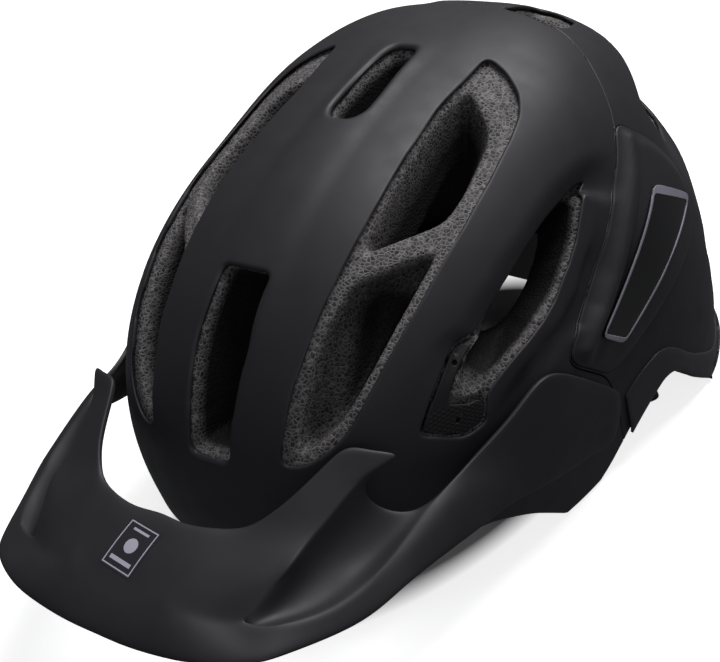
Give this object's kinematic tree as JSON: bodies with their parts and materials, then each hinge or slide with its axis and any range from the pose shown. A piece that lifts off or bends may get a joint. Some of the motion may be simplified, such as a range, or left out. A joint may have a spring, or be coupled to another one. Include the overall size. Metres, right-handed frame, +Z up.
{
  "type": "cycling helmet",
  "caption": "Trail cycling helmet: vented foam liner under a smooth shell, long tilting visor, raised side bands, dial-fitted cradle and buckled chin webbing.",
  "frame": {"origin": "on the table, under the middle of the whole helmet's bounding box, with the helmet standing on its rear corners and side lobes", "axes": "-Y towards the front and the visor's edge, +X towards the wearer's left, +Z up from the table"},
  "size_m": [0.2186, 0.384, 0.1776],
  "materials": {
    "shell": "matte blue-grey polycarbonate skin",
    "visor": "matte moulded nylon, slightly lighter than the shell",
    "band": "satin blue-grey",
    "plate": "glossy inlay with a pale outline",
    "foam": "dark grey moulded bead foam, speckled",
    "grip": "dimpled rubber",
    "nylon": "black moulded nylon",
    "buckle": "black, slightly glossy",
    "webbing": "woven webbing",
    "pad": "brushed knit over soft foam",
    "pin": "satin",
    "label": "dark printed sticker"
  },
  "bodies": {
    "helmet": {"eps_liner": "foam", "top_shell": "shell", "rear_shell": "shell", "rear_bumper": "band", "side_band_left": "band", "side_band_right": "band", "side_plate_left": "plate", "side_plate_right": "plate", "eyewear_grip_left": "grip", "eyewear_grip_right": "grip", "visor_bush_left": "nylon", "visor_bush_right": "nylon", "brow_pad": "pad", "crown_pad_left": "pad", "crown_pad_right": "pad", "side_pad_left": "pad", "side_pad_right": "pad", "temple_pin_left": "pin", "temple_pin_right": "pin", "height_anchor": "nylon", "front_anchor_left": "nylon", "front_anchor_right": "nylon", "rear_anchor_left": "nylon", "rear_anchor_right": "nylon", "front_strap_left": "webbing", "front_strap_right": "webbing", "rear_strap_left": "webbing", "rear_strap_right": "webbing", "strap_divider_left": "nylon", "strap_divider_right": "nylon", "chin_strap_left": "webbing", "chin_strap_right": "webbing", "buckle_female": "buckle"},
    "visor": {"visor": "visor", "size_label": "label", "visor_pin_left": "pin", "visor_pin_right": "pin"},
    "harness": {"retention_arm_left": "nylon", "retention_arm_right": "nylon"},
    "cradle": {"nape_cradle": "nylon", "height_slider": "nylon", "dial_housing": "nylon"},
    "dial": {"fit_dial": "grip"},
    "keeper": {"strap_keeper": "grip"},
    "buckle_half": {"buckle_male": "buckle"}
  },
  "joints": [
    {"name": "visor_tilt", "type": "hinge", "parent": "helmet", "child": "visor", "pos_m": [0, -0.03802, 0.03463], "axis": [-1, 0, 0], "range_deg": [0, 12]},
    {"name": "harness_tilt", "type": "hinge", "parent": "helmet", "child": "harness", "pos_m": [0, 0.00208, 0.03988], "axis": [1, 0, 0], "range_deg": [-1, 1]},
    {"name": "cradle_tighten", "type": "slide", "parent": "harness", "child": "cradle", "axis": [0, -0.9613, -0.2756], "range_m": [0, 0.01]},
    {"name": "dial_turn", "type": "hinge", "parent": "cradle", "child": "dial", "pos_m": [0, 0.1418, 0.02065], "axis": [0, 0.9613, 0.2756], "range_deg": [0, 360]},
    {"name": "keeper_slide", "type": "slide", "parent": "helmet", "child": "keeper", "axis": [1, 0, 0], "range_m": [-0.006, 0.01]},
    {"name": "buckle_release", "type": "slide", "parent": "helmet", "child": "buckle_half", "axis": [-1, 0, 0], "range_m": [0, 0.022], "deforming": ["chin_strap_right"]}
  ],
  "couplings": [
    {"joint": "dial_turn", "follows": "cradle_tighten", "rad_per_m": 628.3}
  ]
}
